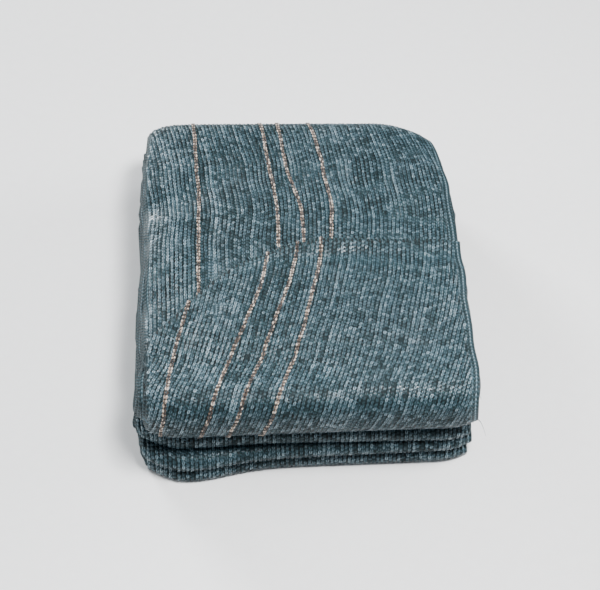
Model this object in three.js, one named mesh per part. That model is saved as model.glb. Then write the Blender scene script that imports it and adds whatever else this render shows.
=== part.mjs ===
import * as THREE from "three";

// A cut of knitted shade net, three metres wide and five long. It is folded lengthwise into a band
// of nine plies, and the band is folded back and forth into a bale that lies flat on the ground.
// Millimetres, +X to the right, +Y to the back, +Z up, origin under the middle of the bale.

// Driving sizes
const WIDTH = 330; // of the band, and so of the bale
const DEPTH = 400; // from the front folds to the back fold
const BAND = 7.2; // thickness of the band, nine plies of net
const APART = 1.5; // air between one layer of the band and the next
const LAYER_COUNT = 13;
const PITCH = BAND + APART;
const HEIGHT = LAYER_COUNT * PITCH - APART;
const EDGE_ROUND = 2.4; // how far the band's edges stand out at mid thickness

// Marker yarns: sections to each row of the net's facets, and how many rows short they stop of the
// floor at the back, of the band's outer end and of the fold under the front
const YARN = { width: 4, height: 1.8, lift: 0.8, steps: 2, fromFloor: 2.3, fromEnd: 0.4, fromFold: 1.3 };

// The band's layers in the order in which it runs, from its outer end on top to its inner end.
// level: counted up from the floor. steps: facets along the layer. inset: how far the fold at the
// end of the layer stands in from the bale's depth. lean: how much further in it stands on the
// right than on the left. bulge and square: depth and squareness of the fold, half round if left
// out. turn: facets round the fold. Folds are at the front and at the back in turn.
const ROUTE = [
  { level: 13, steps: 11, inset: 0, lean: 3, bulge: 25, square: 2.5, turn: 9 },
  { level: 7, steps: 6, inset: 13, lean: -4, turn: 6 },
  { level: 6, steps: 6, inset: 9, lean: -5, turn: 6 },
  { level: 5, steps: 6, inset: 12, lean: 3, turn: 6 },
  { level: 4, steps: 6, inset: 4, lean: 6, turn: 6 },
  { level: 3, steps: 6, inset: 27, lean: 2, turn: 6 },
  { level: 2, steps: 6, inset: 6, lean: 2, turn: 6 },
  { level: 1, steps: 6, inset: 0, lean: 5, bulge: 34, square: 2.6, turn: 11 },
  { level: 12, steps: 17, inset: PITCH, lean: 3, bulge: 25 - PITCH, square: 2.4, turn: 8 },
  { level: 8, steps: 6, inset: 14, lean: 3, turn: 6 },
  { level: 9, steps: 8, inset: 33, lean: 4, turn: 6 },
  { level: 10, steps: 10, inset: 27, lean: -3, turn: 6 },
  { level: 11, steps: 13, inset: 42, lean: 0 },
];

// How far each layer's side edges stand in from the bale's width, from the floor up.
const SIDES = [
  { level: 1, left: 9, right: 5 },
  { level: 2, left: 4, right: 3 },
  { level: 3, left: 6, right: 1 },
  { level: 4, left: 1, right: 4 },
  { level: 5, left: 3, right: 1 },
  { level: 6, left: 0, right: 4 },
  { level: 7, left: 4, right: 0 },
  { level: 8, left: 2, right: 2 },
  { level: 9, left: 7, right: 2 },
  { level: 10, left: 4, right: 4 },
  { level: 11, left: 9, right: 4 },
  { level: 12, left: 7, right: 5 },
  { level: 13, left: 11, right: 3 },
];

// Seen from above, how far each corner of the bale is drawn in. inwards: towards the middle of the
// depth, all of it at the side edge and none at a width from it. sideways: towards the middle of
// the width, all of it at the end of the bale and none at a length from it.
const CORNERS = {
  front: {
    left: { inwards: 17, width: 48, sideways: 2, length: 50 },
    right: { inwards: 9, width: 36, sideways: 2, length: 50 },
  },
  back: {
    left: { inwards: 13, width: 40, sideways: 3, length: 50 },
    right: { inwards: 26, width: 76, sideways: 12, length: 110 },
  },
};
const CORNER_START = 60; // distance from the middle of the bale where corners start to be drawn in

// The bale leans to the right towards the back, and its left front corner has spread forwards
// along the floor.
const SWAY = { right: 7, from: -160, to: 80 };
const SPREAD = { forwards: 13, x: -112, width: 52, from: -60, height: 62 };

// Where the band's outer end lies on top of the bale: its left corner is drawn towards the front.
const OUTER_END = [
  { x: -165, y: -135 },
  { x: -147, y: -111 },
  { x: -111, y: -73 },
  { x: -88, y: -48 },
  { x: -58, y: -22 },
  { x: -12, y: -1 },
  { x: 24, y: 6 },
  { x: 104, y: 5 },
  { x: 165, y: 8 },
];

// Soft troughs, and ridges where depth is negative, in the top of the bale. Each runs straight
// from one end to the other and fades out over its width. The layers below follow in proportion.
const CREASES = [
  { from: [-40, -22], to: [165, -8], depth: 5, width: 22 },
  { from: [-160, 60], to: [-114, 78], depth: 6.5, width: 21 },
  { from: [-72, 95], to: [-34, 105], depth: 3.5, width: 20 },
  { from: [-132, -30], to: [-130, 40], depth: -5, width: 24 },
  { from: [-58, 40], to: [-48, 80], depth: -6, width: 31 },
  { from: [78, 48], to: [150, 30], depth: 6.5, width: 24 },
  { from: [80, 138], to: [130, 126], depth: -3.5, width: 24 },
  { from: [-98, 22], to: [-92, -26], depth: 4.5, width: 17 },
  { from: [-165, -68], to: [-130, -48], depth: 5, width: 18 },
  { from: [-120, -148], to: [20, -158], depth: 3.5, width: 22 },
  { from: [60, -118], to: [140, -68], depth: -4, width: 34 },
];
const SIDE_DROOP = 9; // how far the top sinks at its side edges
const DROOP_POWER = 7;
const DROOP_FADE = 1.4; // how fast the droop fades out towards the floor
const CREASE_FADE = 4; // and the creases

// Columns of facets across the band, as shares of its width, closer at the edges
const COLUMNS = [0, 0.012, 0.035, 0.075, 0.14, 0.25, 0.38, 0.52, 0.66, 0.79, 0.88, 0.94, 0.975, 1];

// Marker yarns knitted into the net along its length. x: across the bale, at a distance along the
// band from the line y = 0, forwards on the outer layer and backwards on the layer behind it.
const YARNS = [
  {
    name: "a",
    front: [[68, -108], [112, -120], [178, -133], [223, -139], [268, -143]],
    back: [[-8, -99], [32, -97], [82, -96], [142, -98], [252, -101], [322, -102]],
  },
  {
    name: "b",
    front: [[-2, -28], [16, -31], [57, -39], [92, -53], [131, -68], [178, -86], [223, -99], [268, -108]],
    back: [[2, -18], [42, -16], [72, -18], [105, -20], [142, -24], [192, -28], [322, -31]],
  },
  {
    name: "c",
    front: [[-2, 1], [22, -4], [54, -11], [93, -26], [139, -41], [178, -58], [223, -72], [268, -82]],
    back: [[2, 8], [34, 9], [49, 9], [72, 5], [95, 0], [122, -4], [172, -9], [322, -12]],
  },
  {
    name: "d",
    front: [[-12, 26], [24, 21], [47, 16], [98, 2], [142, -11], [178, -26], [223, -40], [268, -51]],
    back: [[12, 36], [48, 40], [71, 39], [95, 36], [120, 35], [144, 31], [182, 24], [322, 18]],
  },
];

const levelHeight = (level) => BAND / 2 + (level - 1) * PITCH;
const mix = (a, b, t) => a + (b - a) * t;

// Reads a table of rising or falling keys, straight from row to row.
function read(rows, key) {
  let i = 0;
  while (i < rows.length - 2 && rows[i + 1][0] < key) i++;
  const [a, b] = [rows[i], rows[i + 1]];
  return mix(a[1], b[1], THREE.MathUtils.clamp((key - a[0]) / (b[0] - a[0]), 0, 1));
}

// The band's outer end at a place across the bale, and at a share of the band's width
const outerEndAt = (x) => read(OUTER_END.map((p) => [p.x, p.y]), x);
function outerEnd(u) {
  const { left, right } = SIDES.at(-1);
  return outerEndAt(mix(EDGE_ROUND + left - WIDTH / 2, WIDTH / 2 - EDGE_ROUND - right, u));
}

// How far to the right the bale leans at a depth
const swayAt = (y) => SWAY.right * THREE.MathUtils.smoothstep(y, SWAY.from, SWAY.to);

// How far a point is drawn in, in x and in y, by the corner nearest to it
function drawnIn(x, y) {
  const end = y < 0 ? CORNERS.front : CORNERS.back;
  const { inwards, width, sideways, length } = x < 0 ? end.left : end.right;
  const atSide = Math.max(0, 1 - (WIDTH / 2 - Math.abs(x)) / width);
  const atEnd = Math.max(0, 1 - (DEPTH / 2 - Math.abs(y)) / length);
  const offMiddle = (distance, half) => THREE.MathUtils.smoothstep(distance, CORNER_START, half);
  return {
    inX: Math.sign(x) * sideways * atEnd ** 2 * offMiddle(Math.abs(x), WIDTH / 2),
    inY: Math.sign(y) * inwards * atSide ** 2 * offMiddle(Math.abs(y), DEPTH / 2),
  };
}

// Side edge of a layer: its own inset and a slow wave along it.
function edgeInset(side, level, y) {
  const row = SIDES[level - 1];
  const wave = 1.8 * Math.sin(y / 47 + 1.9 * level + side) + 1.1 * Math.sin(y / 23 + 0.7 * level * level);
  return (side < 0 ? row.left : row.right) + wave;
}

// A layer's own slow ripple, which dies out at its ends and on the floor
function ripple(level, u, y, share) {
  const size = level === 1 ? 0 : 0.25;
  return size * Math.sin(Math.PI * share) * Math.sin(y / 34 + 2.3 * level + 4 * u);
}

// The band's middle line at one column: points with the way out of the band's outer face, and
// the two levels between which they lie.
function middleLine(u) {
  const line = [];
  let start = outerEnd(u);
  ROUTE.forEach((row, i) => {
    const side = i % 2 === 0 ? -1 : 1;
    const next = ROUTE[i + 1];
    const height = levelHeight(row.level);
    const inset = row.inset + row.lean * (u - 0.5);
    const reach = side * (DEPTH / 2 - inset - BAND / 2);
    const rise = next ? Math.abs(levelHeight(next.level) - height) / 2 : 0;
    const bulge = row.bulge ?? rise;
    const end = reach - side * bulge;
    for (let k = line.length ? 1 : 0; k <= row.steps; k++) {
      const share = k / row.steps;
      const y = mix(start, end, share);
      const z = height + ripple(row.level, u, y, share);
      line.push({ y, z, out: [0, -side], from: row.level, to: row.level, share: 0 });
    }
    if (!next) return;
    const upwards = next.level > row.level ? 1 : -1;
    const square = row.square ?? 2;
    for (let k = 1; k <= row.turn; k++) {
      const angle = (k / row.turn - 0.5) * Math.PI;
      const across = k < row.turn ? Math.cos(angle) ** (2 / square) : 0;
      const along = Math.sign(angle) * Math.abs(Math.sin(angle)) ** (2 / square);
      const outY = (across ** (square - 1) / bulge) * side;
      const outZ = ((Math.sign(along) * Math.abs(along) ** (square - 1)) / rise) * upwards;
      const scale = (side * upwards) / Math.hypot(outY, outZ);
      line.push({
        y: end + side * bulge * across,
        z: height + upwards * rise * (1 + along),
        out: [outY * scale, outZ * scale],
        from: row.level,
        to: next.level,
        share: k / row.turn,
      });
    }
    start = end;
  });
  return line;
}

// How the folded bale settles: corners drawn in, drooping sides, creases, and nothing at the floor
function settle(x, y, z) {
  const up = Math.max(z, 0) / HEIGHT;
  const droop = SIDE_DROOP * Math.abs((2 * x) / WIDTH) ** DROOP_POWER * up ** DROOP_FADE;
  let drop = 0;
  for (const { from, to, depth, width } of CREASES) {
    const [dx, dy] = [to[0] - from[0], to[1] - from[1]];
    const along = ((x - from[0]) * dx + (y - from[1]) * dy) / (dx * dx + dy * dy);
    const t = THREE.MathUtils.clamp(along, 0, 1);
    const away = Math.hypot(x - from[0] - t * dx, y - from[1] - t * dy) / width;
    drop += depth * Math.exp(-away * away);
  }
  const { inX, inY } = drawnIn(x, y);
  const aside = Math.exp(-(((x - SPREAD.x) / SPREAD.width) ** 2));
  const frontShare = THREE.MathUtils.smoothstep(-y, -SPREAD.from, DEPTH / 2);
  const floorShare = 1 - THREE.MathUtils.smoothstep(z, 0, SPREAD.height);
  const forwards = SPREAD.forwards * aside * frontShare * floorShare;
  const fall = droop + drop * up ** CREASE_FADE;
  return new THREE.Vector3(x - inX + swayAt(y), y - inY - forwards, z - fall);
}

// One column of the band: its outer face, its inner face and its two ends, as settled points.
function column(u) {
  const line = middleLine(u);
  const sideEdge = (side, p) => {
    const inset = mix(edgeInset(side, p.from, p.y), edgeInset(side, p.to, p.y), p.share);
    return side * (WIDTH / 2 - EDGE_ROUND - inset);
  };
  const place = (p, offset, ahead = 0, aside = 0) => {
    const x = mix(sideEdge(-1, p), sideEdge(1, p), u) + aside;
    return settle(x, p.y + offset * p.out[0] + ahead, p.z + offset * p.out[1]);
  };
  const towardsSide = u === 0 ? -EDGE_ROUND : EDGE_ROUND;
  return {
    u,
    outer: line.map((p) => place(p, BAND / 2)),
    inner: line.map((p) => place(p, -BAND / 2)),
    middle: line.map((p) => place(p, 0, 0, towardsSide)),
    start: place(line[0], 0, EDGE_ROUND),
    end: place(line.at(-1), 0, -EDGE_ROUND),
  };
}

// Closed mesh from faces that are given as rings of points, four or three to a face.
function meshOf(name, faces, material) {
  const positions = [];
  for (const face of faces)
    for (let k = 2; k < face.length; k++)
      for (const p of [face[0], face[k - 1], face[k]]) positions.push(p.x, p.y, p.z);
  const geometry = new THREE.BufferGeometry();
  geometry.setAttribute("position", new THREE.Float32BufferAttribute(positions, 3));
  geometry.computeVertexNormals();
  const mesh = new THREE.Mesh(geometry, material);
  mesh.name = name;
  return mesh;
}

function netting(columns, material) {
  const faces = [];
  const rings = columns.map((c) => [...c.outer, c.end, ...c.inner.toReversed(), c.start]);
  for (let j = 0; j + 1 < rings.length; j++)
    rings[j].forEach((p, i) => {
      const k = (i + 1) % rings[j].length;
      faces.push([p, rings[j][k], rings[j + 1][k], rings[j + 1][i]]);
    });
  const closeSide = (c, flip) => {
    const add = (...face) => faces.push(flip ? face.reverse() : face);
    const last = c.middle.length - 1;
    for (let i = 0; i < last; i++) {
      add(c.outer[i], c.middle[i], c.middle[i + 1], c.outer[i + 1]);
      add(c.middle[i], c.inner[i], c.inner[i + 1], c.middle[i + 1]);
    }
    add(c.start, c.middle[0], c.outer[0]);
    add(c.start, c.inner[0], c.middle[0]);
    add(c.end, c.outer[last], c.middle[last]);
    add(c.end, c.middle[last], c.inner[last]);
  };
  closeSide(columns[0], false);
  closeSide(columns.at(-1), true);
  return meshOf("netting", faces, material);
}

// The point of the band's outer face at a row and a share of the width, on its own flat facet.
function onOuterFace(columns, row, u) {
  const i = Math.min(Math.floor(row), columns[0].outer.length - 2);
  const j = Math.min(columns.findIndex((c) => c.u > u) - 1, columns.length - 2);
  const [a, b] = [row - i, (u - columns[j].u) / (columns[j + 1].u - columns[j].u)];
  const [near, far] = [columns[j].outer, columns[j + 1].outer];
  const corner = near[i].clone();
  const [first, second] = a >= b ? [near[i + 1], far[i + 1]] : [far[i], far[i + 1]];
  const [most, least] = [Math.max(a, b), Math.min(a, b)];
  return corner
    .addScaledVector(first.clone().sub(near[i]), most)
    .addScaledVector(second.clone().sub(first), least);
}

// A marker yarn along one stretch of the outer face: a low half-round cord, clear of the net.
function markerYarn(columns, name, rows, xOfRow, material) {
  const HALF = YARN.width / 2;
  const profile = [
    [-HALF, 0],
    [HALF, 0],
    [0.92 * HALF, 0.55 * YARN.height],
    [0.4 * HALF, YARN.height],
    [-0.4 * HALF, YARN.height],
    [-0.92 * HALF, 0.55 * YARN.height],
  ];
  const shareOf = (row) => {
    const left = onOuterFace(columns, row, columns[1].u).x;
    const right = onOuterFace(columns, row, columns.at(-2).u).x;
    return mix(columns[1].u, columns.at(-2).u, (xOfRow(row) - left) / (right - left));
  };
  const sections = rows.map((row) => {
    const u = shareOf(row);
    const step = 0.2;
    const back = onOuterFace(columns, row - step, shareOf(row - step));
    const ahead = onOuterFace(columns, row + step, shareOf(row + step)).sub(back).normalize();
    const left = onOuterFace(columns, row, u - HALF / WIDTH);
    const across = onOuterFace(columns, row, u + HALF / WIDTH).sub(left).normalize();
    const up = across.clone().cross(ahead).normalize();
    if (up.dot(outwards(columns, row, u)) < 0) up.negate();
    const side = up.clone().cross(ahead).normalize();
    const at = onOuterFace(columns, row, u);
    return profile.map(([w, h]) => at.clone().addScaledVector(side, w).addScaledVector(up, h + YARN.lift));
  });
  const faces = [[...sections[0]].reverse(), [...sections.at(-1)]];
  for (let s = 0; s + 1 < sections.length; s++)
    sections[s].forEach((p, i) => {
      const k = (i + 1) % profile.length;
      faces.push([p, sections[s][k], sections[s + 1][k], sections[s + 1][i]]);
    });
  return meshOf(name, faces, material);
}

// Roughly out of the band at a row of its outer face
function outwards(columns, row, u) {
  const i = Math.round(row);
  const j = Math.max(columns.findIndex((c) => c.u > u) - 1, 0);
  return columns[j].outer[i].clone().sub(columns[j].inner[i]);
}

// Distance along the outer face from the line y = 0 on top to each row, in the middle column.
function travelFrom(columns, firstRow, lastRow, forwards) {
  const { outer } = columns[Math.floor(columns.length / 2)];
  const travel = new Map([[firstRow, forwards * -outer[firstRow].y]]);
  const step = Math.sign(lastRow - firstRow);
  for (let i = firstRow; i !== lastRow; i += step)
    travel.set(i + step, travel.get(i) + outer[i].distanceTo(outer[i + step]));
  return (row) => mix(travel.get(Math.floor(row)), travel.get(Math.ceil(row)), row - Math.floor(row));
}

const columns = COLUMNS.map(column);

const green = new THREE.MeshStandardMaterial({ color: 0x24504a, roughness: 0.55, metalness: 0 });
const brown = new THREE.MeshStandardMaterial({ color: 0x8a6242, roughness: 0.7, metalness: 0 });

const bale = new THREE.Group();
bale.add(netting(columns, green));

// Rows of facets that carry the yarns: the outer layer with its fold, and the layer behind it.
const rowOf = (index) => ROUTE.slice(0, index).reduce((sum, row) => sum + row.steps + row.turn, 0);
const outerRun = { first: 0, last: ROUTE[0].steps + ROUTE[0].turn };
const behindRun = { first: rowOf(8) - ROUTE[7].turn, top: rowOf(8), last: rowOf(8) + ROUTE[8].steps };
const travelFront = travelFrom(columns, outerRun.first, outerRun.last, 1);
const travelBack = travelFrom(columns, behindRun.last, behindRun.first, -1);

// The yarn's own sections: on each row of the net's facets and between them
function rowsBetween(first, last) {
  const rows = [first];
  for (let k = Math.floor(first * YARN.steps) + 1; k / YARN.steps < last; k++) rows.push(k / YARN.steps);
  return [...rows, last];
}

// The row at which the layer behind comes out from under the band's outer end
function rowBehindOuterEnd(xOfRow) {
  const CLEAR = 4;
  const gapAt = (row) => {
    const { y } = onOuterFace(columns, row, xOfRow(row) / WIDTH + 0.5);
    return y - outerEndAt(xOfRow(row) - swayAt(y)) - CLEAR;
  };
  let row = behindRun.top;
  while (gapAt(row) > 0) row += 0.02;
  return row;
}

for (const { name, front, back } of YARNS) {
  const frontX = (row) => read(front, travelFront(THREE.MathUtils.clamp(row, outerRun.first, outerRun.last)));
  const backX = (row) => read(back, travelBack(THREE.MathUtils.clamp(row, behindRun.first, behindRun.last)));
  const frontRows = rowsBetween(outerRun.first + YARN.fromEnd, outerRun.last - YARN.fromFold);
  const backRows = rowsBetween(behindRun.first + YARN.fromFloor, rowBehindOuterEnd(backX));
  bale.add(markerYarn(columns, `marker_yarn_${name}_front`, frontRows, frontX, brown));
  bale.add(markerYarn(columns, `marker_yarn_${name}_back`, backRows, backX, brown));
}

// The origin is under the middle of the bale's box.
const box = new THREE.Box3().setFromObject(bale);
const middle = box.getCenter(new THREE.Vector3());
bale.position.set(-middle.x, -middle.y, -box.min.z);

export default bale;
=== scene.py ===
import math
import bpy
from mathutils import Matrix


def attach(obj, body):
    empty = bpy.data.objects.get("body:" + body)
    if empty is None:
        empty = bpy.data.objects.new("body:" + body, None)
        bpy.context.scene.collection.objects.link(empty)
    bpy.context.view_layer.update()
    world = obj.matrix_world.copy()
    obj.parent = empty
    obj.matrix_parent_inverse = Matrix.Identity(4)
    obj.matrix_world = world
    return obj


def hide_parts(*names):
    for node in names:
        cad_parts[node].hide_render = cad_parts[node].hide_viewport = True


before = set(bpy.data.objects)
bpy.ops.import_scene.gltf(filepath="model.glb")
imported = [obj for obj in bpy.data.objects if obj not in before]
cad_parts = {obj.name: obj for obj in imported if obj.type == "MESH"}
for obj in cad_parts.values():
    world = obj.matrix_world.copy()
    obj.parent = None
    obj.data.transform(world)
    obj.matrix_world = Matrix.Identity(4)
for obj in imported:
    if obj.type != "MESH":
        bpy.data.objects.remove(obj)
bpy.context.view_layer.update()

from types import SimpleNamespace

import bpy
import numpy as np
from mathutils import Matrix, Vector

# A cut of knitted shade net, folded lengthwise into a band of nine plies and then back and forth
# into a bale. The bale's forms are worked out in millimetres, from the same sizes as its solids,
# and go to metres when a mesh is made.
MM = 0.001
RNG = np.random.default_rng(415)

# Sizes shared with the solids

WIDTH = 330.0  # of the band
DEPTH = 400.0  # from the front folds to the back fold
BAND = 7.2  # thickness of the band in the solids
LAYER_GAP = 1.5
PITCH = BAND + LAYER_GAP  # from one layer of the band to the next
LAYER_COUNT = 13
HEIGHT = LAYER_COUNT * PITCH - LAYER_GAP
OFF_FLOOR = 0.15  # nothing lies lower than this
EDGE_ROUND = 2.4  # how far the solids' side edges stand out at mid thickness
FRAME_SHIFT = (-3.45, 1.59)  # from the bale's own middle to the row's origin

# The band's layers in the order in which it runs, each with the fold at its end, where the last
# one has the band's inner end. inset and lean: how far the fold lies inside the bale's depth, and
# how much more so on the right. bulge and square: the fold's depth, and the power of its outline,
# which is 2 for a round one.
LAYERS = [
    dict(level=13, inset=0, lean=3, bulge=25, square=2.5),
    dict(level=7, inset=13, lean=-4),
    dict(level=6, inset=9, lean=-5),
    dict(level=5, inset=12, lean=3),
    dict(level=4, inset=4, lean=6),
    dict(level=3, inset=27, lean=2),
    dict(level=2, inset=6, lean=2),
    dict(level=1, inset=0, lean=5, bulge=34, square=2.6),
    dict(level=12, inset=PITCH, lean=3, bulge=25 - PITCH, square=2.4),
    dict(level=8, inset=14, lean=3),
    dict(level=9, inset=33, lean=4),
    dict(level=10, inset=27, lean=-3),
    dict(level=11, inset=42, lean=0),
]
LEFT_INSETS = [9, 4, 6, 1, 3, 0, 4, 2, 7, 4, 9, 7, 11]  # from the floor up
RIGHT_INSETS = [5, 3, 1, 4, 1, 4, 0, 2, 2, 4, 4, 5, 3]
# How far each corner is drawn in, and over which width and length
CORNERS = dict(
    front_left=dict(inwards=17, width=48, sideways=2, length=50),
    front_right=dict(inwards=9, width=36, sideways=2, length=50),
    back_left=dict(inwards=13, width=40, sideways=3, length=50),
    back_right=dict(inwards=26, width=76, sideways=12, length=110),
)
CORNER_START = 60.0  # from the bale's middle
# The lean to the right, towards the back, and how the lower layers have slid out in front
SWAY = dict(right=7.0, start=-160.0, end=80.0)
SPREAD = dict(forwards=13.0, x=-112.0, width=52.0, start=-60.0, height=62.0)
# The edge of the outer end on top of the bale: across, along
OUTER_END = [(-165, -135), (-147, -111), (-111, -73), (-88, -48), (-58, -22), (-12, -1), (24, 6),
             (104, 5), (165, 8)]
# Troughs, and ridges where depth is negative: from, to, depth, width
CREASES = [
    ((-40, -22), (165, -8), 5, 22),
    ((-160, 60), (-114, 78), 6.5, 21),
    ((-72, 95), (-34, 105), 3.5, 20),
    ((-132, -30), (-130, 40), -5, 24),
    ((-58, 40), (-48, 80), -6, 31),
    ((78, 48), (150, 30), 6.5, 24),
    ((80, 138), (130, 126), -3.5, 24),
    ((-98, 22), (-92, -26), 4.5, 17),
    ((-165, -68), (-130, -48), 5, 18),
    ((-120, -148), (20, -158), 3.5, 22),
    ((60, -118), (140, -68), -4, 34),
]
# Small wrinkles of the top layers, too fine for the solids, in the same form
WRINKLES = [
    ((-6, -16), (60, -12), 1.8, 7),
    ((70, -20), (150, -16), 1.5, 8),
    ((-20, -38), (96, -34), -1.4, 9),
    ((40, 30), (120, 22), -1.4, 9),
    ((86, 92), (96, 52), 1.7, 7),
    ((104, 96), (116, 60), -1.4, 7),
    ((124, 88), (134, 62), 1.5, 7),
    ((-30, 150), (-22, 96), -1.2, 8),
    ((-8, 140), (-2, 84), 1.4, 7),
    ((-92, 122), (-62, 140), 1.5, 8),
    ((-146, 92), (-120, 112), -1.8, 9),
    ((-152, 18), (-120, 34), 1.8, 8),
    ((-150, -6), (-116, 4), -1.4, 7),
    ((-118, -100), (-92, -78), 2.0, 9),
    ((-100, -122), (-64, -96), -1.5, 8),
    ((-84, -84), (-70, -48), 1.7, 8),
    ((-54, -60), (-40, -26), -1.4, 7),
    ((-146, -140), (-112, -116), 2.0, 9),
    ((-60, -146), (-10, -136), 1.4, 8),
    ((30, -130), (120, -140), 1.2, 10),
    ((96, -60), (156, -48), 1.5, 9),
    ((10, -84), (70, -92), -1.0, 10),
    ((60, 150), (120, 128), 1.5, 9),
    ((20, 118), (64, 126), -1.2, 8),
]
SIDE_DROOP = dict(depth=9.0, power=7, fade=1.4)
CREASE_FADE = 4  # power of the height by which the creases fade towards the floor
WRINKLE_FADE = 9
EDGE_WAVE = dict(height=1.8, length=47, shift=1.9)  # of the band's side edges
EDGE_RIPPLE = dict(height=1.1, length=23, shift=0.7)
LAYER_RIPPLE = dict(height=0.25, length=34)  # of the layers between their folds
END_CURL = dict(lift=1.8, length=15.0, start=1.2)  # of the outer end's topmost ply

# Sizes of the real net

PLY_COUNT = 9
PLY_REACH = 3.9  # from the band's middle to its outermost ply
PLY_STEP = 2 * PLY_REACH / (PLY_COUNT - 1)
PLY_OFF_FLOOR = 0.2
STITCH_REACH = 4.2  # from the band's middle to the foot of the raised stitches
WALE = 4.23  # pitch of the knitted ribs
COURSE = 4.0  # pitch of the stitches along a rib

# Marker yarns, by their place across the bale at a distance from the middle line: forwards on the
# outer layer, backwards on the layer behind it
YARNS = dict(
    a=dict(front=[(68, -108), (112, -120), (178, -133), (223, -139), (268, -143)],
           back=[(-8, -99), (32, -97), (82, -96), (142, -98), (252, -101), (322, -102)]),
    b=dict(front=[(-2, -28), (16, -31), (57, -39), (92, -53), (131, -68), (178, -86), (223, -99),
                  (268, -108)],
           back=[(2, -18), (42, -16), (72, -18), (105, -20), (142, -24), (192, -28), (322, -31)]),
    c=dict(front=[(-2, 1), (22, -4), (54, -11), (93, -26), (139, -41), (178, -58), (223, -72),
                  (268, -82)],
           back=[(2, 8), (34, 9), (49, 9), (72, 5), (95, 0), (122, -4), (172, -9), (322, -12)]),
    d=dict(front=[(-12, 26), (24, 21), (47, 16), (98, 2), (142, -11), (178, -26), (223, -40),
                  (268, -51)],
           back=[(12, 36), (48, 40), (71, 39), (95, 36), (120, 35), (144, 31), (182, 24), (322, 18)]),
)


# The bale's form

def smoothstep(value, low, high):
    t = np.clip((value - low) / (high - low), 0, 1)
    return t * t * (3 - 2 * t)


def level_height(level):
    """The height of the middle of a layer."""
    return BAND / 2 + (level - 1) * PITCH


def trough(x, y, start, end, depth, width):
    """How deep a place lies in a trough along a line."""
    along = np.subtract(end, start)
    from_x = x - start[0]
    from_y = y - start[1]
    t = np.clip((from_x * along[0] + from_y * along[1]) / (along @ along), 0, 1)
    away = np.hypot(from_x - t * along[0], from_y - t * along[1]) / width
    return depth * np.exp(-away * away)


def corner_value(x, y, key):
    front = np.where(x < 0, CORNERS["front_left"][key], CORNERS["front_right"][key])
    back = np.where(x < 0, CORNERS["back_left"][key], CORNERS["back_right"][key])
    return np.where(y < 0, front, back)


def outer_end_at(x):
    """How far back the band's outer end lies, at a place across the bale."""
    xs, ys = zip(*OUTER_END)
    return np.interp(x, xs, ys)


def outer_end(u):
    """How far back the band's outer end lies, at a share of the band's width."""
    left = EDGE_ROUND + LEFT_INSETS[-1] - WIDTH / 2
    right = WIDTH / 2 - EDGE_ROUND - RIGHT_INSETS[-1]
    return outer_end_at(left + (right - left) * u)


def sway_at(y):
    """How far the bale leans to the right, at a place along it."""
    return SWAY["right"] * smoothstep(y, SWAY["start"], SWAY["end"])


def end_curl(x, y, z):
    """The plies of the outer end fan out upwards, unevenly across the bale."""
    share = np.clip((z - (HEIGHT - BAND - END_CURL["start"])) / BAND, 0, 1.1)
    uneven_lift = END_CURL["lift"] * (0.65 + 0.35 * np.sin(x / 24 + 1.4) * np.sin(x / 61))
    return uneven_lift * share * np.exp(-np.abs(outer_end_at(x) - y) / END_CURL["length"])


def drawn_in(x, y):
    """How far the bale's corners are drawn in at a place, across the bale and along it."""
    at_side = np.maximum(0, 1 - (WIDTH / 2 - np.abs(x)) / corner_value(x, y, "width"))
    at_end = np.maximum(0, 1 - (DEPTH / 2 - np.abs(y)) / corner_value(x, y, "length"))
    sideways = np.sign(x) * corner_value(x, y, "sideways") * at_end**2
    inwards = np.sign(y) * corner_value(x, y, "inwards") * at_side**2
    sideways = sideways * smoothstep(np.abs(x), CORNER_START, WIDTH / 2)
    inwards = inwards * smoothstep(np.abs(y), CORNER_START, DEPTH / 2)
    return sideways, inwards


def spread_forwards(x, y, z):
    """How far the lower layers have slid out at the front left corner."""
    aside = np.exp(-(((x - SPREAD["x"]) / SPREAD["width"]) ** 2))
    forwards = SPREAD["forwards"] * aside * smoothstep(-y, -SPREAD["start"], DEPTH / 2)
    return forwards * (1 - smoothstep(z, 0, SPREAD["height"]))


def settle(x, y, z):
    """Where a point of the neatly folded bale comes to lie, in millimetres in the row's frame."""
    up = np.maximum(z, 0) / HEIGHT
    droop = SIDE_DROOP["depth"] * np.abs(2 * x / WIDTH) ** SIDE_DROOP["power"] * up ** SIDE_DROOP["fade"]
    creases = sum(trough(x, y, *crease) for crease in CREASES)
    wrinkles = sum(trough(x, y, *wrinkle) for wrinkle in WRINKLES)
    low = z - droop - creases * up**CREASE_FADE - wrinkles * up**WRINKLE_FADE
    sideways, inwards = drawn_in(x, y)
    return np.stack([
        x - sideways + sway_at(y) + FRAME_SHIFT[0],
        y - inwards - spread_forwards(x, y, z) + FRAME_SHIFT[1],
        low + end_curl(x, y, z),
    ], -1)


def edge_inset(side, level, y):
    """How far a layer's side edge lies inside the widest one, at a place along it."""
    insets = np.array(LEFT_INSETS if side < 0 else RIGHT_INSETS)
    wave = EDGE_WAVE["height"] * np.sin(y / EDGE_WAVE["length"] + EDGE_WAVE["shift"] * level + side)
    turn = y / EDGE_RIPPLE["length"] + EDGE_RIPPLE["shift"] * level * level
    return insets[level - 1] + (wave + EDGE_RIPPLE["height"] * np.sin(turn))


def plan_layers():
    """The layers with the level that follows each, the side of its fold and the fold's form."""
    plans = []
    for i, row in enumerate(LAYERS):
        level = row["level"]
        after = LAYERS[i + 1]["level"] if i + 1 < len(LAYERS) else None
        rise = abs(level_height(after) - level_height(level)) / 2 if after else 0.0
        plans.append(SimpleNamespace(
            index=i, level=level, after=after, side=-1 if i % 2 == 0 else 1, rise=rise,
            up=1 if after and after > level else -1, inset=row["inset"], lean=row["lean"],
            bulge=row.get("bulge", rise), square=row.get("square", 2)))
    return plans


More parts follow.
